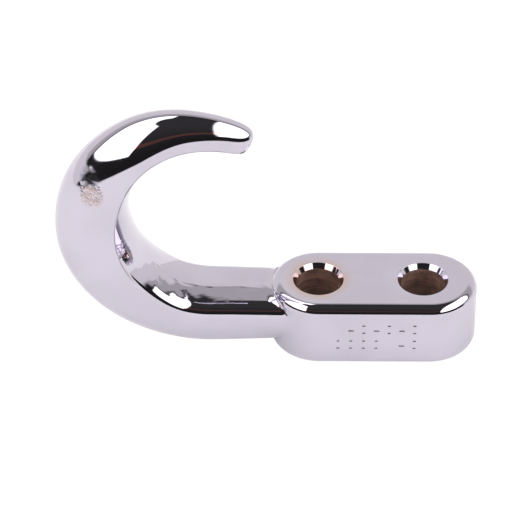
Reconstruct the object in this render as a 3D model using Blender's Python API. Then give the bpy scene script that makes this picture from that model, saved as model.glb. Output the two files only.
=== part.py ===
"""A drop-forged steel tow hook: a two-bolt mounting block, and the hook arm that grows from its end.

Metres. +X runs along the block away from the hook, +Y to the back, +Z up. The origin is on the flat
mounting face, midway between the two bolt holes. The forging is modelled as its two regions, split
at the shoulder where the shank runs into the block.
"""

import math

import bmesh
import bpy
from mathutils import Vector

# Mounting block: an obround standing on its mounting face, rounded along its top and bottom edges.
BLOCK_HEIGHT = 0.0265
BLOCK_END_RADIUS = 0.0174
BLOCK_LEFT_CENTRE = -0.0187
BLOCK_RIGHT_CENTRE = 0.0214
BLOCK_EDGE_RADIUS = 0.0036
END_STEPS = 24
EDGE_STEPS = 5

# Bolt holes, vertical through the block, for 5/8 in bolts at 1 1/2 in centres.
HOLE_SPACING = 0.038
HOLE_RADIUS = 0.008
CHAMFER_WIDTH = 0.001
CHAMFER_DEPTH = 0.002
HOLE_STEPS = 40

# Centre line of the hook arm, in the vertical plane of the bolt holes: a straight shank that leaves
# the block towards -X, then five arcs (radius, turn in degrees) that curl it up and back over.
SHANK_START = -0.030
SHANK_HEIGHT = 0.0133
SHANK_END = -0.0577
BENDS = ((0.0417, 42.4), (0.0433, 47.6), (0.0407, 48.5), (0.0312, 43.2), (0.0475, 26.1))
STATION_PITCH = 0.003

# The bar's section at equal steps along the centre line, from the block to the nose. It is a D: a
# crowned inner face, a small corner each side of it, a short side, and a long outer curve. The sizes
# are the thickness in the hook's plane, half the depth across it, the radius of the inner corners,
# the slope in degrees that the crown has where it meets them, and the power of the outer curve (2 is
# an ellipse). The height of the side is the same all along.
THICKNESS = (0.0210, 0.0220, 0.0235, 0.0275, 0.0280, 0.0240, 0.0180, 0.0125, 0.0110)
HALF_DEPTH = (0.0133, 0.0136, 0.0142, 0.0152, 0.0150, 0.0142, 0.0125, 0.0084, 0.0050)
CORNER_RADIUS = (0.0050, 0.0048, 0.0040, 0.0030, 0.0015, 0.0015, 0.0012, 0.0012, 0.0015)
CROWN_SLOPE = (8, 8, 15, 34, 42, 30, 26, 14, 14)
OUTER_POWER = (2.2, 2.4, 2.3, 2.2, 2.4, 2.1, 1.8, 1.9, 2.2)
SIDE_HEIGHT = 0.0015
SIDE_SLOPE = math.radians(8)  # how far the side leans in where it meets the corner
CROWN_STEPS = 2
CORNER_STEPS = 4
OUTER_STEPS = 8
NOSE_LENGTH = 0.0081
NOSE_END_SHARE = 0.4  # of the bar's size, where the rounding ends in a small flat
NOSE_TURN = 80
NOSE_STEPS = 6

SPLIT_GAP = 0.0003  # between the two regions of the forging

CHROME = (0.63, 0.60, 0.68, 1.0)
CHROME_ROUGHNESS = 0.08


def clear_scene():
    for thing in list(bpy.data.objects):
        bpy.data.objects.remove(thing, do_unlink=True)


def chrome(name):
    material = bpy.data.materials.new(name)
    material.use_nodes = True
    shader = material.node_tree.nodes["Principled BSDF"]
    shader.inputs["Base Color"].default_value = CHROME
    shader.inputs["Metallic"].default_value = 1.0
    shader.inputs["Roughness"].default_value = CHROME_ROUGHNESS
    material.diffuse_color = CHROME
    return material


def make_object(name, rings, material=None):
    """A closed body lofted through rings of points that run the same way, its two ends capped."""
    body = bmesh.new()
    loops = [[body.verts.new(point) for point in ring] for ring in rings]
    for lower, upper in zip(loops, loops[1:]):
        for i, corner in enumerate(lower):
            j = (i + 1) % len(lower)
            body.faces.new((corner, lower[j], upper[j], upper[i]))
    body.faces.new(reversed(loops[0]))
    body.faces.new(loops[-1])
    bmesh.ops.recalc_face_normals(body, faces=body.faces)
    mesh = bpy.data.meshes.new(name)
    body.to_mesh(mesh)
    body.free()
    mesh.shade_smooth()
    mesh.set_sharp_from_angle(angle=math.radians(30))
    if material:
        mesh.materials.append(material)
    thing = bpy.data.objects.new(name, mesh)
    bpy.context.collection.objects.link(thing)
    return thing


def cut(thing, cutter):
    """Takes the cutter's shape out of the object. The cutter stays in the scene as a hidden guide."""
    cutter.hide_render = True
    cutter.display_type = "WIRE"
    boolean = thing.modifiers.new("cut_" + cutter.name, "BOOLEAN")
    boolean.operation = "DIFFERENCE"
    boolean.solver = "EXACT"
    boolean.object = cutter


def block_outline(radius, height):
    """One level of the block: a half circle round each end's centre."""
    points = []
    for centre, start in ((BLOCK_RIGHT_CENTRE, -90), (BLOCK_LEFT_CENTRE, 90)):
        for step in range(END_STEPS + 1):
            angle = math.radians(start + 180 * step / END_STEPS)
            points.append((centre + radius * math.cos(angle), radius * math.sin(angle), height))
    return points


def block_rings(grow=0.0):
    """The block from bottom to top, with its edges rounded, and every face moved out by grow."""
    edge = BLOCK_EDGE_RADIUS + grow
    flat_radius = BLOCK_END_RADIUS - BLOCK_EDGE_RADIUS
    levels = []
    for step in range(EDGE_STEPS + 1):
        angle = math.radians(90 * step / EDGE_STEPS)
        levels.append((flat_radius + edge * math.sin(angle), BLOCK_EDGE_RADIUS - edge * math.cos(angle)))
    levels += [(radius, BLOCK_HEIGHT - height) for radius, height in reversed(levels)]
    return [block_outline(radius, height) for radius, height in levels]


def hole_cutter(name, x):
    """A bolt hole, with a chamfer at each face of the block."""
    overrun = CHAMFER_DEPTH / 2
    rim = HOLE_RADIUS + CHAMFER_WIDTH * (CHAMFER_DEPTH + overrun) / CHAMFER_DEPTH
    levels = (
        (rim, -overrun),
        (HOLE_RADIUS, CHAMFER_DEPTH),
        (HOLE_RADIUS, BLOCK_HEIGHT - CHAMFER_DEPTH),
        (rim, BLOCK_HEIGHT + overrun),
    )
    turns = [2 * math.pi * step / HOLE_STEPS for step in range(HOLE_STEPS)]
    rings = [[(x + r * math.cos(a), r * math.sin(a), z) for a in turns] for r, z in levels]
    return make_object(name, rings)


def mounting_block(material):
    block = make_object("mounting_block", block_rings(), material)
    for name, side in (("left_hole", -1), ("right_hole", 1)):
        cut(block, hole_cutter(name, side * HOLE_SPACING / 2))
    return block


def centre_line():
    """Stations along the arm: position, heading (0 is +X, counter-clockwise) and distance run."""
    x, z, heading, run = SHANK_START, SHANK_HEIGHT, math.pi, 0.0
    stations = [(x, z, heading, run)]
    stretches = [(SHANK_START - SHANK_END, 0.0)]
    stretches += [(radius * math.radians(turn), math.radians(turn)) for radius, turn in BENDS]
    for length, turn in stretches:
        steps = math.ceil(length / STATION_PITCH)
        for _ in range(steps):
            middle = heading - turn / steps / 2
            x += length / steps * math.cos(middle)
            z += length / steps * math.sin(middle)
            heading -= turn / steps
            run += length / steps
            stations.append((x, z, heading, run))
    return stations


def along(values, share):
    """The value at a share of the arm's length: a smooth cubic through values at equal steps along it."""
    last = len(values) - 1
    place = min(max(share, 0.0), 1.0) * last
    low = min(int(place), last - 1)
    f = place - low
    rise = values[low + 1] - values[low]
    slope_in = (values[low + 1] - values[low - 1]) / 2 if low > 0 else rise
    slope_out = (values[low + 2] - values[low]) / 2 if low < last - 1 else rise
    ease = f * f * (3 - 2 * f)
    return values[low] + rise * ease + slope_in * f * (1 - f) ** 2 - slope_out * f * f * (1 - f)


def arm_half_section(share):
    """Half of the D across the bar: points (distance out from the inner ridge, distance to the side).

    Three arcs run on from each other, crown, corner and side, each from one slope to the next, and
    the outer curve is a quarter of a superellipse from the widest point to the outer ridge.
    """
    crown, lean = math.radians(along(CROWN_SLOPE, share)), SIDE_SLOPE
    corner = along(CORNER_RADIUS, share)
    side = SIDE_HEIGHT / math.sin(lean)
    depth = along(HALF_DEPTH, share)
    reach = depth - corner * (math.cos(lean) - math.sin(crown)) - side * (1 - math.cos(lean))
    slopes = [0.0, crown, math.pi / 2 - lean, math.pi / 2]
    radii = (reach / math.sin(crown), corner, side)
    points = [(0.0, 0.0)]
    for radius, start, end, steps in zip(radii, slopes, slopes[1:], (CROWN_STEPS, CORNER_STEPS, 1)):
        u, v = points[-1]
        for step in range(1, steps + 1):
            slope = start + (end - start) * step / steps
            rise = radius * (math.cos(start) - math.cos(slope))
            points.append((u + rise, v + radius * (math.sin(slope) - math.sin(start))))
    widest = points[-1][0]
    outer = along(THICKNESS, share) - widest
    power = 2 / along(OUTER_POWER, share)
    for step in range(1, OUTER_STEPS + 1):
        angle = math.pi / 2 * step / OUTER_STEPS
        across = depth * max(math.cos(angle), 0.0) ** power
        points.append((widest + outer * math.sin(angle) ** power, across))
    return points


def arm_ring(x, z, heading, share, size=1.0):
    """The D across the centre line, its inner face towards the inside of the hook."""
    across = Vector((-math.sin(heading), 0.0, math.cos(heading)))
    middle = along(THICKNESS, share) / 2
    half = [((out - middle) * size, side * size) for out, side in arm_half_section(share)]
    outline = half + [(u, -v) for u, v in reversed(half[1:-1])]
    return [Vector((x, v, z)) + across * u for u, v in outline]


def arm_rings():
    """The bar's sections from inside the block to the start of the nose, then the rounded nose."""
    stations = centre_line()
    end_x, end_z, end_heading, length = stations[-1]
    nose_start = length - NOSE_LENGTH
    rings = [arm_ring(x, z, h, run / length) for x, z, h, run in stations if run < nose_start]
    for step in range(NOSE_STEPS + 1):
        angle = math.radians(NOSE_TURN * step / NOSE_STEPS)
        back = NOSE_LENGTH * (1 - math.sin(angle))
        x = end_x - back * math.cos(end_heading)
        z = end_z - back * math.sin(end_heading)
        size = NOSE_END_SHARE + (1 - NOSE_END_SHARE) * math.cos(angle)
        rings.append(arm_ring(x, z, end_heading, (length - back) / length, size))
    return rings


def hook_arm(material):
    arm = make_object("hook_arm", arm_rings(), material)
    cut(arm, make_object("block_clearance", block_rings(SPLIT_GAP)))
    return arm


def main():
    clear_scene()
    plating = chrome("chrome_plating")
    mounting_block(plating)
    hook_arm(plating)


main()
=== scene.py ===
"""Looks for a forged, chrome-plated tow hook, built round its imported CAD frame.

Metres. +X runs along the block away from the hook, +Y to the back, +Z up from the mounting face.
"""

import math

import bmesh
import bpy
import numpy as np
from bpy.props import FloatProperty, FloatVectorProperty, IntProperty, PointerProperty
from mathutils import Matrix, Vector


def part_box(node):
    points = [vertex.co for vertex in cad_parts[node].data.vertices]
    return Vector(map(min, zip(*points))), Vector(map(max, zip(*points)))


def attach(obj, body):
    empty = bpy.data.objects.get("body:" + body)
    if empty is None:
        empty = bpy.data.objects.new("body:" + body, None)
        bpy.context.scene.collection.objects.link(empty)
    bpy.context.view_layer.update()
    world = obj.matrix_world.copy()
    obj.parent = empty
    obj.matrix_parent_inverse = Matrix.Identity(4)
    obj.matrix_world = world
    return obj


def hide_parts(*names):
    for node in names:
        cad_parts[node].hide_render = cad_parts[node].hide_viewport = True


bl_info = {
    "name": "Forged Tow Hook",
    "version": (1, 0, 0),
    "blender": (4, 5, 0),
    "location": "3D View > Sidebar > Tow Hook",
    "description": "Builds the plated skin of a forged two-bolt tow hook and a studio stage for it",
    "category": "Add Mesh",
}

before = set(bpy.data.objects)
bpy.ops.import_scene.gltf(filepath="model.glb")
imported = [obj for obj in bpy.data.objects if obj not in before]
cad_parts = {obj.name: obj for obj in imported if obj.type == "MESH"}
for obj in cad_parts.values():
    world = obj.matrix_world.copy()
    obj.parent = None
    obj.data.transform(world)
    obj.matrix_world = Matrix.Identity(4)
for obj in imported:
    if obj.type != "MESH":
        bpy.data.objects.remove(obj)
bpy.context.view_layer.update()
BLOCK_LOW, BLOCK_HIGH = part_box("mounting_block")

# Mounting block, worked out from its node: an obround with rounded edges and two bores.
BLOCK_RADIUS = (BLOCK_HIGH.y - BLOCK_LOW.y) / 2
BLOCK_HEIGHT = BLOCK_HIGH.z - BLOCK_LOW.z
BLOCK_LEFT = BLOCK_LOW.x + BLOCK_RADIUS
BLOCK_RIGHT = BLOCK_HIGH.x - BLOCK_RADIUS
EDGE_RADIUS = 0.0036
BORE_PLACES = (-0.019, 0.019)
BORE_RADIUS = 0.008

# Hook arm: a straight shank, then five arcs (radius, turn in degrees) up and back over the block.
SHANK_START = -0.030
SHANK_HEIGHT = 0.0133
SHANK_END = -0.0577
BENDS = ((0.0417, 42.4), (0.0433, 47.6), (0.0407, 48.5), (0.0312, 43.2), (0.0475, 26.1))
# The D section at equal steps along the arm, from the block to the nose.
THICKNESS = (0.0210, 0.0220, 0.0235, 0.0275, 0.0280, 0.0240, 0.0180, 0.0122, 0.0090)
HALF_DEPTH = (0.0133, 0.0136, 0.0142, 0.0152, 0.0150, 0.0142, 0.0125, 0.0084, 0.0050)
CORNER_RADIUS = (0.0050, 0.0049, 0.0045, 0.0028, 0.0010, 0.0010, 0.0010, 0.0010, 0.0012)
CROWN_SLOPE = (8, 8, 16, 30, 39, 30, 26, 14, 14)
OUTER_POWER = (2.2, 2.4, 2.3, 2.2, 2.4, 2.1, 1.8, 1.9, 2.2)
SIDE_HEIGHT = 0.0015
SIDE_SLOPE = math.radians(8)
CROWN_STEPS, CORNER_STEPS, SIDE_STEPS, OUTER_STEPS = 22, 16, 4, 36
NOSE_LENGTH = 0.0081
NOSE_POWER = 3.6
NOSE_REACH = 0.0006  # how far the plated nose stands past the frame
LINE_STATIONS = 1600
NOSE_STATIONS = 43
ROOT_RUN = 0.0115  # length of shank that the root fillet touches
ROOT_STATIONS = 150
ROOT_FIRST = 40  # a station well clear of the skin's first edge
INTO_BLOCK_STATIONS = 25
CORNER_FILLET = 0.0011  # the root fillet at the corners of the shank
CROWN_FILLET = 0.0061  # and on its top
FLASH_LINE = -0.0021  # across the bar, from its middle
FLASH_WIDTH = 0.00032
GROUND_PLACE = (-0.071, 0.009)  # the lower bend is ground most round this x, over this spread
GROUND_HEIGHT = 0.000030
GRAIN_HEIGHT = 0.000008
BITE_PLACE = (0.050, 0.003)  # height of the bitten stretch of the left corner, and its spread
BITE_HEIGHT = 0.00005
LIP_START, LIP_END = 0.38, 0.43  # shares of the arm over which the front corner's lip grows
LIP_HEIGHT = 0.00009
LIP_COLUMN = 31
# Column of the arm's front inner corner where a dark line of painted shade is laid.
CORNER_SHADE_COLUMN = 32
BAR_PITCH = 0.0046  # between punched bars, along the block
BAR_WIDTH = 0.00028
DRESSED_PLACE = (-0.0992, -0.0085, 0.0795)  # ground and polished again on the outside of the upper bend
SCUFFED_PLACE = (-0.0988, -0.0115, 0.0735)
DRESSED_COLOUR = (0.20, 0.205, 0.25, 1.0)
# Painted shade: colour of the dark line along the arm's front inner corner, standing in for the shade and
# dark reflection there.
CORNER_SHADE_COLOUR = (0.05, 0.045, 0.05, 1.0)
FLOOR_RADIUS = 0.85
CAMERA_TARGET = (-0.04019, 0.0, 0.03514)
BACKDROP_SLOPE = 0.632  # depth over height of a direction towards the backdrop's upper edge
SOFTBOX_HEIGHTS = (18.5, 72)  # degrees above the horizon
SOFTBOX_TILT = 0.353  # how far the left softbox's edge runs in, over how far it runs back
WARM_TURNS = (-38, 30)  # degrees round from straight in front
WARM_HEIGHTS = (29, 36)
WARM_COLOUR = (4.6, 2.0, 1.6, 1.0)


class TowHookForging(bpy.types.PropertyGroup):
    """Sizes of the plated skin that the frame leaves open."""

    root_fillet: FloatProperty(
        name="Root Fillet",
        description="Radius of the fillet where the sides of the shank run into the block",
        default=0.006,
        min=0.001,
        subtype="DISTANCE",
        unit="LENGTH",
    )
    edge_smoothing: FloatProperty(
        name="Bend Smoothing",
        description="Length of arm over which one bend eases into the next",
        default=0.012,
        min=0.001,
        subtype="DISTANCE",
        unit="LENGTH",
    )
    flash_height: FloatProperty(
        name="Flash Height",
        description="Step left by the trimmed forging flash along the inside of the arm",
        default=0.00012,
        min=0.0,
        subtype="DISTANCE",
        unit="LENGTH",
    )
    chamfer_width: FloatProperty(
        name="Chamfer Width",
        description="Width of the chamfer round each bolt hole",
        default=0.00125,
        min=0.0001,
        subtype="DISTANCE",
        unit="LENGTH",
    )
    chamfer_depth: FloatProperty(
        name="Chamfer Depth",
        description="Depth of the chamfer round each bolt hole",
        default=0.0019,
        min=0.0001,
        subtype="DISTANCE",
        unit="LENGTH",
    )
    punch_depth: FloatProperty(
        name="Punch Depth",
        description="Depth of the punched bars on the front of the block",
        default=0.00026,
        min=0.0,
        subtype="DISTANCE",
        unit="LENGTH",
    )
    stations: IntProperty(
        name="Stations",
        description="Sections along the hook arm",
        default=330,
        min=60,
    )


class TowHookFinish(bpy.types.PropertyGroup):
    """Colours and gloss."""

    plating: FloatVectorProperty(
        name="Plating",
        description="Colour of the chrome plate",
        default=(0.600, 0.575, 0.672, 1.0),
        size=4,
        min=0.0,
        max=1.0,
        subtype="COLOR",
    )
    tarnish: FloatVectorProperty(
        name="Tarnish",
        description="Colour of the copper haze where the plate is thin",
        default=(0.62, 0.47, 0.42, 1.0),
        size=4,
        min=0.0,
        max=1.0,
        subtype="COLOR",
    )
    bore: FloatVectorProperty(
        name="Bore",
        description="Colour of the dull drilled steel in the bolt holes",
        default=(0.20, 0.12, 0.095, 1.0),
        size=4,
        min=0.0,
        max=1.0,
        subtype="COLOR",
    )
    gloss: FloatProperty(
        name="Roughness",
        description="Roughness of the polished plate",
        default=0.045,
        min=0.0,
        max=1.0,
        subtype="FACTOR",
    )


class TowHookStudio(bpy.types.PropertyGroup):
    """Camera and light."""

    elevation: FloatProperty(
        name="Camera Elevation",
        description="Height of the camera above the horizon, seen from the hook",
        default=math.radians(39.34),
        subtype="ANGLE",
        unit="ROTATION",
    )
    azimuth: FloatProperty(
        name="Camera Azimuth",
        description="Turn of the camera round the hook, from straight in front",
        default=math.radians(0.45),
        subtype="ANGLE",
        unit="ROTATION",
    )
    distance: FloatProperty(
        name="Camera Distance",
        description="Distance from the camera to the middle of the picture",
        default=1.0851,
        subtype="DISTANCE",
        unit="LENGTH",
    )
    lens: FloatProperty(
        name="Focal Length",
        description="Focal length on a 36 mm sensor, in millimetres",
        default=207.75,
        subtype="DISTANCE_CAMERA",
    )
    room: FloatProperty(
        name="Floor Light",
        description="Brightness of the floor",
        default=1.12,
        min=0.0,
    )
    backdrop: FloatProperty(
        name="Backdrop Light",
        description="Brightness of the backdrop behind the hook",
        default=0.93,
        min=0.0,
    )
    softbox: FloatProperty(
        name="Softbox Light",
        description="Brightness of the two softboxes",
        default=2.6,
        min=0.0,
    )


# ---------------------------------------------------------------- numbers


def along(values, share):
    """A smooth cubic through values at equal steps, read at each share of the length."""
    values = np.asarray(values, float)
    last = len(values) - 1
    place = np.clip(share, 0.0, 1.0) * last
    low = np.minimum(place.astype(int), last - 1)
    f = place - low
    rise = values[low + 1] - values[low]
    slope_in = np.where(low > 0, (values[low + 1] - values[np.maximum(low - 1, 0)]) / 2, rise)
    slope_out = np.where(low < last - 1, (values[np.minimum(low + 2, last)] - values[low]) / 2, rise)
    ease = f * f * (3 - 2 * f)
    return values[low] + rise * ease + slope_in * f * (1 - f) ** 2 - slope_out * f * f * (1 - f)


def ease(value, start, end):
    """0 up to start, 1 from end on, and a smooth S between."""
    t = np.clip((value - start) / (end - start), 0.0, 1.0)
    return t * t * (3 - 2 * t)


def bell(value, middle, spread):
    """A bell curve: 1 at the middle, and 1/e at the spread from it."""
    return np.exp(-(((value - middle) / spread) ** 2))


def ripple(points, pitch, seed):
    """A smooth pseudo-random field between about -1 and 1: a sum of sine waves in fixed directions,
    each with a wavelength near the pitch and a phase from the seed."""
    draw = np.random.default_rng(seed)
    field = np.zeros(points.shape[:-1])
    waves = 9
    for _ in range(waves):
        direction = draw.normal(size=3)
        direction *= 2 * math.pi / (pitch * draw.uniform(0.7, 1.5) * np.linalg.norm(direction))
        field += np.sin(points @ direction + draw.uniform(0, 2 * math.pi))
    return field / math.sqrt(waves)


def grid_faces(rows, columns, closed):
    """Quads between neighbouring rows of a grid, with the last column joined to the first if closed."""
    r, c = np.meshgrid(np.arange(rows - 1), np.arange(columns if closed else columns - 1), indexing="ij")
    right = (c + 1) % columns
    row, following = r * columns, (r + 1) * columns
    return np.stack([row + c, row + right, following + right, following + c], -1).reshape(-1, 4)


def new_mesh(name, points, faces, materials, slots=None):
    """A smooth-shaded mesh piece from an array of points and a list of faces."""
    mesh = bpy.data.meshes.new(name)
    mesh.from_pydata(points.reshape(-1, 3).tolist(), [], faces)
    for material in materials:
        mesh.materials.append(material)
    if slots is not None:
        mesh.polygons.foreach_set("material_index", slots)
    mesh.polygons.foreach_set("use_smooth", np.ones(len(mesh.polygons), bool))
    mesh.update()
    mesh.validate()
    piece = bpy.data.objects.new(name, mesh)
    bpy.context.scene.collection.objects.link(piece)
    return piece


# ---------------------------------------------------------------- the arm


def centre_line(count, smoothing):
    """Stations along the arm: place (x, z), heading and share of the length. The curvature is a step
    for each stretch, averaged over the smoothing length, and summed twice to give heading and place."""
    lengths = np.array([SHANK_START - SHANK_END] + [r * math.radians(turn) for r, turn in BENDS])
    bends = np.array([0.0] + [1 / r for r, _ in BENDS])
    run = np.linspace(0.0, lengths.sum(), count)
    pitch = run[1]
    ends = np.cumsum(lengths)
    bend = bends[np.minimum(np.searchsorted(ends, run), len(bends) - 1)]
    width = max(int(smoothing / pitch) | 1, 3)
    window = np.hanning(width + 2)[1:-1]
    padded = np.pad(bend, width // 2, mode="edge")
    bend = np.convolve(padded, window / window.sum(), mode="valid")
    heading = math.pi - np.concatenate([[0.0], np.cumsum((bend[1:] + bend[:-1]) / 2 * pitch)])
    middle = (heading[1:] + heading[:-1]) / 2
    x = SHANK_START + np.concatenate([[0.0], np.cumsum(np.cos(middle) * pitch)])
    z = SHANK_HEIGHT + np.concatenate([[0.0], np.cumsum(np.sin(middle) * pitch)])
    return x, z, heading, run / run[-1], run[-1]


def arc(radius, start, end, steps):
    """Rise and reach of points on arcs that begin with one slope and end with another, one row a station."""
    slope = start + (end - start) * np.linspace(0, 1, steps + 1)[1:]
    return radius * (np.cos(start) - np.cos(slope)), radius * (np.sin(slope) - np.sin(start))


def half_sections(share):
    """Half of the D at each station, from the inner ridge round to the outer ridge: three arcs that
    run on from each other (crown, corner, side), then a quarter of a superellipse."""
    share = share[:, None]
    crown = np.radians(along(CROWN_SLOPE, share))
    corner = along(CORNER_RADIUS, share)
    depth = along(HALF_DEPTH, share)
    side = SIDE_HEIGHT / math.sin(SIDE_SLOPE)
    reach = depth - corner * (math.cos(SIDE_SLOPE) - np.sin(crown)) - side * (1 - math.cos(SIDE_SLOPE))
    upright = math.pi / 2
    out, aside = [np.zeros_like(share)], [np.zeros_like(share)]
    stretches = (
        (reach / np.sin(crown), np.zeros_like(crown), crown, CROWN_STEPS),
        (corner, crown, upright - SIDE_SLOPE, CORNER_STEPS),
        (side, upright - SIDE_SLOPE, upright, SIDE_STEPS),
    )
    for radius, start, end, steps in stretches:
        rise, across = arc(radius, start, end, steps)
        out.append(out[-1][:, -1:] + rise)
        aside.append(aside[-1][:, -1:] + across)
    widest = out[-1][:, -1:]
    power = 2 / along(OUTER_POWER, share)
    angle = upright * np.linspace(0, 1, OUTER_STEPS + 1)[1:]
    outer = along(THICKNESS, share) - widest
    out.append(widest + outer * np.sin(angle) ** power)
    aside.append(depth * np.maximum(np.cos(angle), 0.0) ** power)
    return np.concatenate(out, 1), np.concatenate(aside, 1)


def block_gap(points):
    """Distance from each point to the block without its holes, negative inside: the distance to a
    rounded upright obround."""
    along_x = np.clip(points[..., 0], BLOCK_LEFT, BLOCK_RIGHT)
    flat = np.hypot(points[..., 0] - along_x, points[..., 1]) - (BLOCK_RADIUS - EDGE_RADIUS)
    up = np.abs(points[..., 2] - BLOCK_HEIGHT / 2) - (BLOCK_HEIGHT / 2 - EDGE_RADIUS)
    outside = np.hypot(np.maximum(flat, 0), np.maximum(up, 0))
    return outside + np.minimum(np.maximum(flat, up), 0) - EDGE_RADIUS


def halve(test, low, high):
    """The place between low and high where a test of the place changes from true to false."""
    for _ in range(30):
        middle = (low + high) / 2
        passed = test(middle)
        low = np.where(passed, middle, low)
        high = np.where(passed, high, middle)
    return (low + high) / 2


def root_rise(points, normals, radius, first):
    """How far each point of the shank moves out along its normal to lie on the root fillet, which is
    the circle of a ball that rolls along one line of the shank until it touches the block. Past the
    touch the skin dives just under the block's surface. Each line is read at the first station."""
    base, outward, ball = points[first], normals[first], radius[first]
    step = np.array([1.0, 0.0, 0.0])

    def clear(x):
        centre = base + (x - base[:, 0])[:, None] * step + outward * ball[:, None]
        return block_gap(centre) > ball

    start = halve(clear, np.full(len(base), SHANK_END), np.full(len(base), 0.0))
    centre = base + (start - base[:, 0])[:, None] * step + outward * ball[:, None]
    slope = (block_gap(centre + step * 1e-5) - block_gap(centre - step * 1e-5)) / 2e-5
    touch = start - ball * slope
    x = points[..., 0]
    run = np.clip(x - start, 0, ball)
    circle = ball - np.sqrt(np.maximum(ball**2 - run**2, 0))

    depth = 0.000002 + 0.05 * np.maximum(x - touch, 0)

    def inside(height):
        return block_gap(points + normals * height[..., None]) < -depth

    under = halve(inside, np.zeros_like(x), np.full_like(x, 0.008))
    blend = ease(x, touch - 0.0010, touch)
    return circle + (under - circle) * blend


def arm_points(forging):
    """The arm's skin: the D carried along the centre line, its stations crowded together at the root
    and at the nose, which a superellipse rounds off. The first stations run on into the block, a
    little further at the sides, where the root fillet meets the block last."""
    x, z, heading, share, length = centre_line(LINE_STATIONS, forging.edge_smoothing)
    into_block = np.linspace(-1, 0, INTO_BLOCK_STATIONS + 1)[:-1]
    root = np.linspace(0, ROOT_RUN / length, ROOT_STATIONS)[:-1]
    bar = np.linspace(ROOT_RUN / length, 1 - NOSE_LENGTH / length, forging.stations)
    turn = np.linspace(0, math.pi / 2, NOSE_STATIONS + 1)[1:]
    nose = 1 - (1 - np.sin(turn)) * NOSE_LENGTH / length
    share_all = np.concatenate([np.zeros_like(into_block), root, bar, nose])
    taper = np.maximum(1 - np.sin(turn) ** NOSE_POWER, 0) ** (1 / NOSE_POWER)
    size = np.ones_like(share_all)
    size[-len(turn) :] = taper
    px = np.interp(share_all, share, x)
    pz = np.interp(share_all, share, z)
    ph = np.interp(share_all, share, heading)
    reach = NOSE_REACH * ease(share_all, bar[-1], 1.0)
    px, pz = px + reach * np.cos(ph), pz + reach * np.sin(ph)
    out, aside = half_sections(share_all)
    u = out - along(THICKNESS, share_all)[:, None] / 2
    u, aside = u * size[:, None], aside * size[:, None]
    u = np.concatenate([u, u[:, -2:0:-1]], 1)
    v = np.concatenate([-aside, aside[:, -2:0:-1]], 1)
    across = np.stack([-np.sin(ph), np.zeros_like(ph), np.cos(ph)], -1)[:, None]
    points = np.stack([px, np.zeros_like(px), pz], -1)[:, None] + u[..., None] * across
    points[..., 1] += v
    start = len(into_block)
    points[:start, :, 0] -= into_block[:, None] * (0.0002 + 0.002 * ease(np.abs(v[:start]), 0.0100, 0.0130))
    return points, share_all, v


def ring_normals(points):
    """Outward normals of a closed-ring grid: the cross product of its two central differences."""
    round_ring = np.roll(points, -1, 1) - np.roll(points, 1, 1)
    along_arm = np.gradient(points, axis=0)
    normals = np.cross(round_ring, along_arm)
    normals /= np.maximum(np.linalg.norm(normals, axis=-1, keepdims=True), 1e-12)
    return normals


def forging_marks(points, share, v, forging):
    """How far the skin stands out: the trimmed flash is a patchy ridge (a bell curve across a line
    just in front of the middle of the inner face), the metal in front of it has the ripples of hand
    grinding, and both die out towards the nose. A thin lip (a bell curve across the columns of the front
    corner) runs on along the bend to the nose, with small bites where it passes the left."""
    columns = np.arange(points.shape[1])
    half = CROWN_STEPS + CORNER_STEPS + SIDE_STEPS + 1
    inner = (columns < half) | (columns > len(columns) - half)
    wander = 0.0005 * ripple(points, 0.014, 3)
    line = v - FLASH_LINE + wander
    patchy = 0.35 + 0.65 * ease(ripple(points, 0.006, 5), -0.4, 0.9)
    ridge = np.exp(-((line / FLASH_WIDTH) ** 2)) * patchy * forging.flash_height
    front = ease(-line, 0.0, 0.0008) * ease(v, -0.0125, -0.0105)
    rough_bend = 0.45 + bell(points[..., 0], *GROUND_PLACE)
    ground = ripple(points, 0.0048, 7) * GROUND_HEIGHT
    ground = ground + ripple(points * (0.35, 1, 1), 0.0016, 9) * GRAIN_HEIGHT
    bite = BITE_HEIGHT * bell(points[..., 2], *BITE_PLACE) * ripple(points, 0.0011, 11)
    bite = bite * ease(-v, 0.0095, 0.0115) * (points[..., 0] < -0.085)
    along_arm = ease(-points[..., 0], 0.0385, 0.0425) * ease(-share, -0.5, -0.36)[:, None]
    lip = LIP_HEIGHT * bell(columns, LIP_COLUMN, 3.0) * ease(share, LIP_START, LIP_END)[:, None]
    return np.where(inner, (ridge + ground * front * rough_bend) * along_arm + bite + lip, 0.0)


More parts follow.
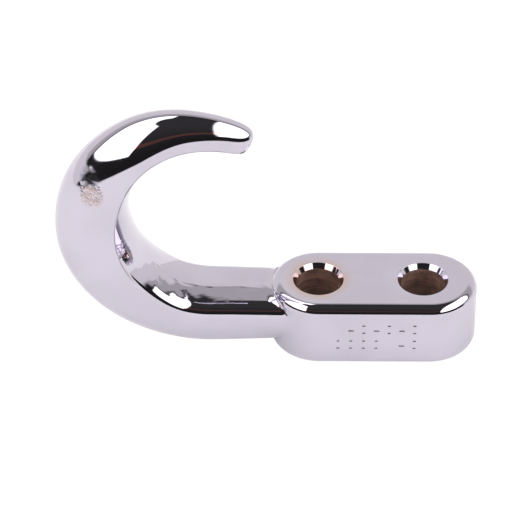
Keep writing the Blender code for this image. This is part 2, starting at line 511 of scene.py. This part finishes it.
def hook_arm_piece(forging, plating):
    """The arm's skin with its fillet and flash, closed at the root by a fan and at the nose. It carries
    painted shade as a point
    attribute: a bell curve across the columns of the front inner corner, which the plate turns into a dark
    line."""
    points, share, v = arm_points(forging)
    normals = ring_normals(points)
    middle = points.mean(1, keepdims=True)
    if ((points - middle) * normals).sum() < 0:
        normals = -normals
    upward = np.maximum(normals[..., 2], 0) ** 5
    sideways = normals[..., 1] ** 8
    radius = CORNER_FILLET + (CROWN_FILLET - CORNER_FILLET) * upward
    radius += (forging.root_fillet - CORNER_FILLET) * sideways
    shank = points[..., 0:1] > SHANK_END
    low_part = points[..., 2:3] < BLOCK_HEIGHT + forging.root_fillet
    rise = root_rise(points, normals, radius, ROOT_FIRST)[..., None]
    rise = np.where(shank & low_part, rise, 0.0)
    marks = forging_marks(points, share, v, forging)[..., None]
    points = points + normals * (rise + marks)
    rows, columns = points.shape[:2]
    root_middle = rows * columns
    here = np.arange(columns)
    faces = grid_faces(rows, columns, True)[:, ::-1].tolist()
    faces += np.stack([here, (here + 1) % columns, np.full(columns, root_middle)], -1).tolist()
    faces.append(((rows - 1) * columns + here)[::-1].tolist())
    centre = np.array([[SHANK_START, 0.0, SHANK_HEIGHT]])
    skin = np.concatenate([points.reshape(-1, 3), centre])
    piece = new_mesh("hook_arm_skin", skin, faces, [plating])
    # Painted shade along the front inner corner: a patchy bell across its columns, from where the lip grows
    # to short of the nose.
    patchy = 0.7 + 0.3 * ripple(points, 0.007, 13)
    stretch = ease(share, LIP_START, LIP_END) * ease(-share, -0.985, -0.95)
    corner_shade = bell(here, CORNER_SHADE_COLUMN, 2.8) * stretch[:, None] * patchy
    values = np.append(corner_shade.ravel(), 0.0).astype(np.float32)
    piece.data.attributes.new("corner_shade", "FLOAT", "POINT").data.foreach_set("value", values)
    return piece


# ---------------------------------------------------------------- the block


def outline(radius, middle):
    """Points (x, y) round the obround at one radius, as two halves that meet midway between the holes:
    from the front's middle round the right end to the rear's, and on round the left end. The steps
    are closer along the front, where the punched marks lie."""
    front = np.linspace(0, 1, 131)
    turn = np.linspace(-math.pi / 2, math.pi / 2, 49)
    rear = np.linspace(0, 1, 13)
    right = np.stack([BLOCK_RIGHT + radius * np.cos(turn), radius * np.sin(turn)], -1)
    left = np.stack([BLOCK_LEFT - radius * np.cos(turn), -radius * np.sin(turn)], -1)

    def straight(start, end, steps, y):
        x = start + (end - start) * steps
        return np.stack([x, np.full_like(x, y)], -1)

    half_right = np.concatenate(
        [
            straight(middle, BLOCK_RIGHT, front, -radius)[:-1],
            right,
            straight(BLOCK_RIGHT, middle, rear, radius)[1:],
        ]
    )
    half_left = np.concatenate(
        [
            straight(middle, BLOCK_LEFT, rear, radius)[:-1],
            left,
            straight(BLOCK_LEFT, middle, front, -radius)[1:],
        ]
    )
    return half_right, half_left


def wall_profile():
    """Radius and height of the block's wall from the bottom flat to the top flat: a quarter circle,
    an upright stretch and a quarter circle."""
    turn = np.linspace(0, math.pi / 2, 25)
    inner = BLOCK_RADIUS - EDGE_RADIUS
    low = np.stack([inner + EDGE_RADIUS * np.sin(turn), EDGE_RADIUS - EDGE_RADIUS * np.cos(turn)], -1)
    top = np.stack([low[::-1, 0], BLOCK_HEIGHT - low[::-1, 1]], -1)
    heights = np.linspace(EDGE_RADIUS, BLOCK_HEIGHT - EDGE_RADIUS, 122)[1:-1]
    wall = np.stack([np.full_like(heights, BLOCK_RADIUS), heights], -1)
    return np.concatenate([low, wall, top])


def punch_marks(points, depth):
    """How deep each point of the front wall is pressed in: single bars and pairs of bars in two rows,
    each a smooth groove whose depth falls off with the distance to its line."""
    pressed = np.zeros(points.shape[:-1])
    front = points[..., 1] < -BLOCK_RADIUS + 0.0005
    px, pz = points[..., 0], points[..., 2]
    rows = ((0.0172, -0.0072, (1, 2, 1, 2, 1, 2)), (0.0101, -0.0118, (2, 2, 2, 2, 0, 1, 2)))
    for height, start, counts in rows:
        for i, count in enumerate(counts):
            x = px - (start + BAR_PITCH * i)
            for lift in ((), (-0.0006,), (-0.0017, 0.0017))[count]:
                z = pz - height - lift
                reach = 0.0009 if count == 1 else 0.0004
                gap = np.hypot(np.maximum(np.abs(x) - reach, 0), z)
                pressed = np.maximum(pressed, bell(gap, 0.0, BAR_WIDTH))
    return np.where(front, pressed * depth, 0.0)


def half_flat(edge, hole_x, rim, height):
    """One half of a flat face: the rim of its hole joined to the edge of the half by straight lines,
    with the rows crowded towards the edge and the rim. Also gives the angle of each line."""
    back = edge[-1] + (edge[0] - edge[-1]) * np.linspace(0, 1, 34)[1:-1, None]
    loop = np.concatenate([edge, back])
    angle = np.arctan2(loop[:, 1], loop[:, 0] - hole_x)
    inner = np.stack([hole_x + rim * np.cos(angle), rim * np.sin(angle)], -1)
    t = np.array([0.0, 0.02, 0.06, 0.2, 0.4, 0.6, 0.8, 0.94, 0.98, 1.0])[:, None, None]
    flat = inner + (loop - inner) * t
    return np.concatenate([flat, np.full(flat.shape[:2] + (1,), height)], -1), angle


def bore_wall(hole_x, angle, rim, forging):
    """Chamfer, bore and chamfer of one hole from the top face to the bottom face, as rings over the
    same angles as the flats."""
    depth = forging.chamfer_depth
    shares = np.array([0.0, 0.03, 0.35, 0.7, 0.97, 1.0])
    chamfer = np.stack([rim + (BORE_RADIUS - rim) * shares, BLOCK_HEIGHT - depth * shares], -1)
    heights = np.linspace(BLOCK_HEIGHT - depth, depth, 30)
    bore = np.stack([np.full_like(heights, BORE_RADIUS), heights], -1)[1:-1]
    bottom = np.stack([chamfer[::-1, 0], BLOCK_HEIGHT - chamfer[::-1, 1]], -1)
    profile = np.concatenate([chamfer, bore, bottom])
    r, h = profile[:, 0][:, None], profile[:, 1][:, None]
    points = np.stack([hole_x + r * np.cos(angle), r * np.sin(angle), h + 0 * angle], -1)
    return points, len(chamfer), len(bore)


def mounting_block_piece(forging, plating, bore_steel):
    """The block's skin: wall, two flats in two halves each, and two bores, welded into one shell."""
    middle = (BORE_PLACES[0] + BORE_PLACES[1]) / 2
    profile = wall_profile()
    rings = []
    for radius, height in profile:
        half_right, half_left = outline(radius, middle)
        ring = np.concatenate([half_right, half_left[1:-1]])
        rings.append(np.concatenate([ring, np.full((len(ring), 1), height)], -1))
    wall = np.stack(rings)
    wall[..., 1] += punch_marks(wall, forging.punch_depth)
    parts = [(wall, grid_faces(*wall.shape[:2], True), 0)]
    inner = BLOCK_RADIUS - EDGE_RADIUS
    rim = BORE_RADIUS + forging.chamfer_width
    halves = outline(inner, middle)
    for edge, hole_x in zip(halves, BORE_PLACES[::-1]):
        top, angle = half_flat(edge, hole_x, rim, BLOCK_HEIGHT)
        low, _ = half_flat(edge, hole_x, rim, 0.0)
        faces = grid_faces(*top.shape[:2], True)
        parts.append((top, faces, 0))
        parts.append((low, faces[:, ::-1], 0))
        tube, chamfer_rows, bore_rows = bore_wall(hole_x, angle, rim, forging)
        columns = tube.shape[1]
        tube_faces = grid_faces(*tube.shape[:2], True)
        row = np.arange(len(tube_faces)) // columns
        slots = ((row >= chamfer_rows - 1) & (row < chamfer_rows + bore_rows)).astype(int)
        parts.append((tube, tube_faces, slots))
    points, faces, slots, base = [], [], [], 0
    for grid, quads, slot in parts:
        points.append(grid.reshape(-1, 3))
        faces.append(quads + base)
        slots.append(np.broadcast_to(slot, len(quads)))
        base += grid.shape[0] * grid.shape[1]
    piece = new_mesh(
        "mounting_block_skin",
        np.concatenate(points),
        np.concatenate(faces).tolist(),
        [plating, bore_steel],
        np.concatenate(slots).astype(np.int32),
    )
    weld(piece, 2e-6)
    return piece


def weld(piece, distance):
    """Joins the seams where two grids share an edge and makes every face point outwards."""
    body = bmesh.new()
    body.from_mesh(piece.data)
    bmesh.ops.remove_doubles(body, verts=body.verts, dist=distance)
    bmesh.ops.recalc_face_normals(body, faces=body.faces)
    body.to_mesh(piece.data)
    body.free()
    piece.data.update()


# ---------------------------------------------------------------- finishes


def node(tree, kind, inputs=(), **settings):
    """A node with its settings, and its inputs set to a value or linked from a socket."""
    made = tree.nodes.new(kind)
    for key, value in settings.items():
        setattr(made, key, value)
    for key, value in dict(inputs).items():
        if isinstance(value, bpy.types.NodeSocket):
            tree.links.new(value, made.inputs[key])
        else:
            made.inputs[key].default_value = value
    return made


def maths(tree, operation, first, second=None, third=None):
    """The output of a Math node."""
    inputs = {i: v for i, v in enumerate((first, second, third)) if v is not None}
    return node(tree, "ShaderNodeMath", inputs, operation=operation).outputs[0]


def ramp(tree, value, start, end, low=0.0, high=1.0):
    """A smooth change from low to high as the value goes from start to end."""
    inputs = {0: value, 1: start, 2: end, 3: low, 4: high}
    return node(tree, "ShaderNodeMapRange", inputs, interpolation_type="SMOOTHSTEP").outputs[0]


def noise(tree, place, scale, detail=3.0, roughness=0.5):
    """A noise texture's grey value."""
    inputs = {"Vector": place, "Scale": scale, "Detail": detail, "Roughness": roughness}
    return node(tree, "ShaderNodeTexNoise", inputs).outputs[0]


def mix_colour(tree, share, first, second):
    """A colour between two, by the share."""
    made = tree.nodes.new("ShaderNodeMix")
    made.data_type = "RGBA"
    for socket, value in zip((made.inputs[0], made.inputs[6], made.inputs[7]), (share, first, second)):
        if isinstance(value, bpy.types.NodeSocket):
            tree.links.new(value, socket)
        else:
            socket.default_value = value
    return made.outputs[2]


def spot(tree, place, centre, inner, outer):
    """1 within the inner radius of a centre, fading to 0 at the outer radius."""
    gap = node(tree, "ShaderNodeVectorMath", {0: place, 1: centre}, operation="DISTANCE").outputs["Value"]
    return ramp(tree, gap, inner, outer, 1.0, 0.0)


def new_material(name):
    """An empty Principled material: its node tree and its shader."""
    material = bpy.data.materials.new(name)
    material.use_nodes = True
    return material, material.node_tree, material.node_tree.nodes["Principled BSDF"]


def chrome_plating(finish):
    """Bright plate over a forging: a slow colour drift, a copper haze round the left hole, a dressed
    and a scuffed patch on the upper bend, a dark line of painted shade along the arm's front inner corner,
    uneven gloss, and polishing waves in the bump."""
    material, tree, shader = new_material("bright_plate")
    place = node(tree, "ShaderNodeTexCoord").outputs["Object"]
    drift = noise(tree, place, 45.0)
    haze = spot(tree, place, (BORE_PLACES[0], 0.0, BLOCK_HEIGHT), 0.0085, 0.0135)
    haze = maths(tree, "MULTIPLY", haze, ramp(tree, noise(tree, place, 160.0), 0.25, 0.6, 0.3, 0.85))
    dark = tuple(c * 0.96 for c in finish.plating[:3]) + (1.0,)
    bright = tuple(min(c * 1.02, 1.0) for c in finish.plating[:3]) + (1.0,)
    colour = mix_colour(tree, ramp(tree, drift, 0.35, 0.65), dark, bright)
    dressed = spot(tree, place, DRESSED_PLACE, 0.0022, 0.0052)
    scuff = spot(tree, place, SCUFFED_PLACE, 0.0025, 0.0056)
    facets = node(tree, "ShaderNodeTexVoronoi", {"Vector": place, "Scale": 330.0}).outputs["Distance"]
    speck = noise(tree, place, 900.0, 4.0)
    scuff = maths(tree, "MULTIPLY", scuff, ramp(tree, speck, 0.35, 0.6))
    cells = node(tree, "ShaderNodeTexVoronoi", {"Vector": place, "Scale": 420.0}).outputs["Color"]
    cell = node(tree, "ShaderNodeSeparateXYZ", {0: cells}).outputs[0]
    dull = maths(tree, "MULTIPLY", dressed, ramp(tree, cell, 0.1, 0.8, 0.35, 0.9))
    colour = mix_colour(tree, haze, colour, tuple(finish.tarnish))
    colour = mix_colour(tree, dull, colour, DRESSED_COLOUR)
    colour = mix_colour(tree, maths(tree, "MULTIPLY", scuff, 0.7), colour, tuple(finish.tarnish))
    # Painted shade: a dark line along the arm's front inner corner, mixed in from the attribute laid there.
    corner_shade = node(tree, "ShaderNodeAttribute", attribute_name="corner_shade").outputs["Fac"]
    colour = mix_colour(tree, maths(tree, "MULTIPLY", corner_shade, 0.9), colour, CORNER_SHADE_COLOUR)
    tree.links.new(colour, shader.inputs["Base Color"])
    shader.inputs["Metallic"].default_value = 1.0
    uneven = ramp(tree, noise(tree, place, 220.0, 5.0), 0.3, 0.75, finish.gloss * 0.7, finish.gloss * 1.5)
    worked = maths(tree, "MAXIMUM", scuff, dressed)
    uneven = maths(tree, "ADD", uneven, maths(tree, "MULTIPLY", worked, 0.12))
    tree.links.new(uneven, shader.inputs["Roughness"])
    waves = noise(tree, place, 120.0, 2.0)
    bump = node(tree, "ShaderNodeBump", {"Height": waves, "Strength": 0.35, "Distance": 0.00003})
    facing = maths(tree, "MULTIPLY", dressed, facets)
    dents = node(tree, "ShaderNodeBump", {"Height": facing, "Distance": 0.00016, "Normal": bump.outputs[0]})
    grit = maths(tree, "MULTIPLY", scuff, speck)
    pits = node(tree, "ShaderNodeBump", {"Height": grit, "Distance": 0.00025, "Normal": dents.outputs[0]})
    tree.links.new(pits.outputs[0], shader.inputs["Normal"])
    return material


def bore_steel(finish):
    """Drilled steel left unplated: dull brown, with rings left by the drill and blotches of rust."""
    material, tree, shader = new_material("bore_steel")
    place = node(tree, "ShaderNodeTexCoord").outputs["Object"]
    stretched = node(tree, "ShaderNodeMapping", {0: place, 3: (60.0, 60.0, 1400.0)}).outputs[0]
    rings = noise(tree, stretched, 1.0)
    blotch = noise(tree, place, 330.0, 4.0)
    share = ramp(tree, maths(tree, "ADD", rings, blotch), 0.75, 1.25)
    dark = tuple(c * 0.7 for c in finish.bore[:3]) + (1.0,)
    light = tuple(min(c * 1.5, 1.0) for c in finish.bore[:3]) + (1.0,)
    tree.links.new(mix_colour(tree, share, dark, light), shader.inputs["Base Color"])
    shader.inputs["Metallic"].default_value = 0.3
    tree.links.new(ramp(tree, blotch, 0.3, 0.7, 0.5, 0.7), shader.inputs["Roughness"])
    bump = node(tree, "ShaderNodeBump", {"Height": rings, "Strength": 0.5, "Distance": 0.00005})
    tree.links.new(bump.outputs[0], shader.inputs["Normal"])
    return material


# ---------------------------------------------------------------- the stage


def band(tree, value, start, end, soft):
    """1 between start and end, with soft edges, from angles in degrees."""
    start, end, soft = (math.radians(angle) for angle in (start, end, soft))
    rise = ramp(tree, value, start - soft, start + soft)
    fall = ramp(tree, value, end - soft, end + soft, 1.0, 0.0)
    return maths(tree, "MULTIPLY", rise, fall)


def studio_light(studio):
    """The room as light from each direction: a floor below, a backdrop behind that is dimmer towards
    its upper edge, a dark ceiling and front, a softbox at each side, and a narrow warm strip. Seen straight
    from the camera, the room is white."""
    world = bpy.data.worlds.new("studio")
    bpy.context.scene.world = world
    world.use_nodes = True
    tree = world.node_tree
    tree.nodes.clear()
    direction = node(tree, "ShaderNodeTexCoord").outputs["Generated"]
    x, y, z = node(tree, "ShaderNodeSeparateXYZ", {0: direction}).outputs
    azimuth = maths(tree, "ARCTAN2", x, maths(tree, "MULTIPLY", y, -1.0))
    height = maths(tree, "ARCSINE", z)
    beyond = maths(tree, "SUBTRACT", y, maths(tree, "MULTIPLY", z, BACKDROP_SLOPE))
    backdrop = ramp(tree, beyond, -0.04, 0.08)
    backdrop = maths(tree, "MULTIPLY", backdrop, ramp(tree, beyond, 0.24, 0.36, 0.60, 1.0))
    behind = ramp(tree, maths(tree, "ABSOLUTE", azimuth), math.radians(78), math.radians(84))
    behind = maths(tree, "MULTIPLY", behind, band(tree, height, -9, 11, 2))
    backdrop = maths(tree, "MAXIMUM", backdrop, behind)
    below = ramp(tree, height, math.radians(-4.5), math.radians(-2.5), 1.0, 0.0)
    turned = maths(tree, "MULTIPLY", y, SOFTBOX_TILT)
    left = ramp(tree, maths(tree, "SUBTRACT", turned, x), 0.17, 0.20)
    right = ramp(tree, x, 0.37, 0.41)
    boxes = maths(tree, "MAXIMUM", left, right)
    boxes = maths(tree, "MULTIPLY", boxes, band(tree, height, *SOFTBOX_HEIGHTS, 1.0))
    boxes = maths(tree, "MULTIPLY", boxes, ramp(tree, beyond, -0.08, -0.02, 1.0, 0.0))
    warm = band(tree, azimuth, *WARM_TURNS, 3)
    warm = maths(tree, "MULTIPLY", warm, band(tree, height, *WARM_HEIGHTS, 1.5))
    gloom = ramp(tree, height, 0.0, math.radians(75), 0.016, 0.045)
    backdrop = maths(tree, "MULTIPLY", backdrop, studio.backdrop)
    pale = maths(tree, "MAXIMUM", backdrop, maths(tree, "MULTIPLY", below, studio.room))
    light = maths(tree, "MAXIMUM", gloom, pale)
    light = maths(tree, "MAXIMUM", light, maths(tree, "MULTIPLY", boxes, studio.softbox))
    colour = mix_colour(tree, warm, (1.0, 0.965, 0.95, 1.0), WARM_COLOUR)
    seen = node(tree, "ShaderNodeBackground", {"Color": colour, "Strength": light}).outputs[0]
    white = node(tree, "ShaderNodeBackground", {"Color": (1.0, 1.0, 1.0, 1.0), "Strength": 1.4}).outputs[0]
    camera_ray = node(tree, "ShaderNodeLightPath").outputs["Is Camera Ray"]
    shown = node(tree, "ShaderNodeMixShader", {0: camera_ray, 1: seen, 2: white}).outputs[0]
    node(tree, "ShaderNodeOutputWorld", {"Surface": shown})


def floor_piece(studio):
    """A pale sheet under the hook, a disc worked out ring by ring. It takes the hook's shade, and the
    camera sees most of that washed out, as on an overexposed sheet."""
    rings, spokes = 12, 72
    turns = np.arange(spokes) * 2 * math.pi / spokes
    r, a = np.meshgrid(np.linspace(FLOOR_RADIUS, 0.02, rings), turns, indexing="ij")
    points = np.stack([r * np.cos(a), r * np.sin(a), np.full_like(r, -0.0002)], -1)
    faces = grid_faces(rings, spokes, True).tolist()
    faces.append([(rings - 1) * spokes + i for i in range(spokes)])
    material, tree, shader = new_material("pale_floor")
    shader.inputs["Base Color"].default_value = (0.62, 0.62, 0.62, 1.0)
    shader.inputs["Roughness"].default_value = 0.9
    shader.inputs["Emission Color"].default_value = (1.0, 1.0, 1.0, 1.0)
    shader.inputs["Emission Strength"].default_value = studio.room * 0.34
    glow = node(tree, "ShaderNodeEmission", {"Strength": studio.room}).outputs[0]
    camera_ray = node(tree, "ShaderNodeLightPath").outputs["Is Camera Ray"]
    share = maths(tree, "MULTIPLY", camera_ray, 0.85)
    shown = node(tree, "ShaderNodeMixShader", {0: share, 1: shader.outputs[0], 2: glow}).outputs[0]
    tree.links.new(shown, tree.nodes["Material Output"].inputs["Surface"])
    floor = new_mesh("floor", points, faces, [material])
    return floor


def camera(studio):
    """The camera, its middle on a point between the hook's throat and the block."""
    data = bpy.data.cameras.new("camera")
    data.sensor_width = 36.0
    data.lens = studio.lens
    data.clip_start, data.clip_end = 0.05, 20.0
    eye = bpy.data.objects.new("camera", data)
    bpy.context.scene.collection.objects.link(eye)
    target = Vector(CAMERA_TARGET)
    up, turn = studio.elevation, studio.azimuth
    back = Vector((math.sin(turn) * math.cos(up), -math.cos(turn) * math.cos(up), math.sin(up)))
    eye.location = target + back * studio.distance
    eye.rotation_mode = "QUATERNION"
    eye.rotation_quaternion = back.to_track_quat("Z", "Y")
    bpy.context.scene.camera = eye


# ---------------------------------------------------------------- operators


class TOWHOOK_OT_stage(bpy.types.Operator):
    """Makes the floor, the studio light and the camera"""

    bl_idname = "tow_hook.stage"
    bl_label = "Stage"

    def execute(self, context):
        studio = context.scene.tow_hook_studio
        context.scene.view_settings.view_transform = "Standard"
        studio_light(studio)
        floor_piece(studio)
        camera(studio)
        return {"FINISHED"}


class TOWHOOK_OT_block(bpy.types.Operator):
    """Makes the plated skin of the mounting block with its two bolt holes"""

    bl_idname = "tow_hook.block"
    bl_label = "Mounting Block"

    def execute(self, context):
        finish = context.scene.tow_hook_finish
        plating = bpy.data.materials.get("bright_plate") or chrome_plating(finish)
        piece = mounting_block_piece(context.scene.tow_hook_forging, plating, bore_steel(finish))
        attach(piece, "root")
        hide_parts("mounting_block")
        return {"FINISHED"}


class TOWHOOK_OT_arm(bpy.types.Operator):
    """Makes the plated skin of the shank and the hook arm"""

    bl_idname = "tow_hook.arm"
    bl_label = "Hook Arm"

    def execute(self, context):
        finish = context.scene.tow_hook_finish
        plating = bpy.data.materials.get("bright_plate") or chrome_plating(finish)
        piece = hook_arm_piece(context.scene.tow_hook_forging, plating)
        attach(piece, "root")
        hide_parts("hook_arm")
        return {"FINISHED"}


class TOWHOOK_PT_panel(bpy.types.Panel):
    """Lists the sizes, the finishes and the buttons that build the hook"""

    bl_idname = "TOWHOOK_PT_panel"
    bl_label = "Tow Hook"
    bl_space_type = "VIEW_3D"
    bl_region_type = "UI"
    bl_category = "Tow Hook"

    def draw(self, context):
        layout = self.layout
        scene = context.scene
        for group in (scene.tow_hook_forging, scene.tow_hook_finish, scene.tow_hook_studio):
            box = layout.box()
            for name in group.__annotations__:
                box.prop(group, name)
        for operator in (TOWHOOK_OT_stage, TOWHOOK_OT_block, TOWHOOK_OT_arm):
            layout.operator(operator.bl_idname)


CLASSES = (
    TowHookForging,
    TowHookFinish,
    TowHookStudio,
    TOWHOOK_OT_stage,
    TOWHOOK_OT_block,
    TOWHOOK_OT_arm,
    TOWHOOK_PT_panel,
)


def register():
    for item in CLASSES:
        bpy.utils.register_class(item)
    bpy.types.Scene.tow_hook_forging = PointerProperty(type=TowHookForging)
    bpy.types.Scene.tow_hook_finish = PointerProperty(type=TowHookFinish)
    bpy.types.Scene.tow_hook_studio = PointerProperty(type=TowHookStudio)


def unregister():
    del bpy.types.Scene.tow_hook_studio
    del bpy.types.Scene.tow_hook_finish
    del bpy.types.Scene.tow_hook_forging
    for item in reversed(CLASSES):
        bpy.utils.unregister_class(item)


def main():
    register()
    bpy.ops.tow_hook.stage()
    bpy.ops.tow_hook.block()
    bpy.ops.tow_hook.arm()


if __name__ == "__main__":
    main()
